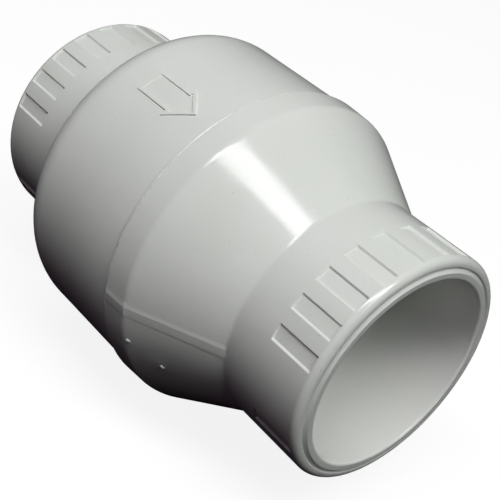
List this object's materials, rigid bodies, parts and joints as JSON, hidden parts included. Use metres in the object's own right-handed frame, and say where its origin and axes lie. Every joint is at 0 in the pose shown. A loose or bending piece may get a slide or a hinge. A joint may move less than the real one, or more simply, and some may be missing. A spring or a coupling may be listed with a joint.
{
  "type": "check valve",
  "caption": "In-line spring check valve: round two-piece plastic body with pipe sockets at both ends and a sprung poppet that slides along the flow axis.",
  "frame": {"origin": "on the flow axis at mid-length between the two socket rims, which is the bounding box centre", "axes": "+X is the flow direction, out of the outlet socket; +Z is the top of the moulding, square to the parting plane"},
  "size_m": [0.1208, 0.083, 0.0826],
  "materials": {
    "body_pvc": "glossy light grey-white moulded PVC",
    "inner_plastic": "satin light grey moulded plastic",
    "seal_rubber": "matte black EPDM",
    "stainless": "turned stainless steel",
    "spring_steel": "drawn stainless wire"
  },
  "bodies": {
    "housing": {"inlet_body": "body_pvc", "outlet_body": "body_pvc", "stem_guide": "inner_plastic", "spring_washer": "stainless", "closing_spring": "spring_steel"},
    "poppet": {"poppet_stem": "stainless", "poppet_disc": "inner_plastic", "poppet_seal": "seal_rubber", "seal_retainer": "inner_plastic", "lock_washer": "stainless", "lock_nut": "stainless"}
  },
  "joints": [
    {"name": "poppet_slide", "type": "slide", "parent": "housing", "child": "poppet", "axis": [1, 0, 0], "range_m": [0, 0.011], "stiffness_N_per_m": 430, "springref_m": -0.0116, "deforming": ["closing_spring"]}
  ]
}
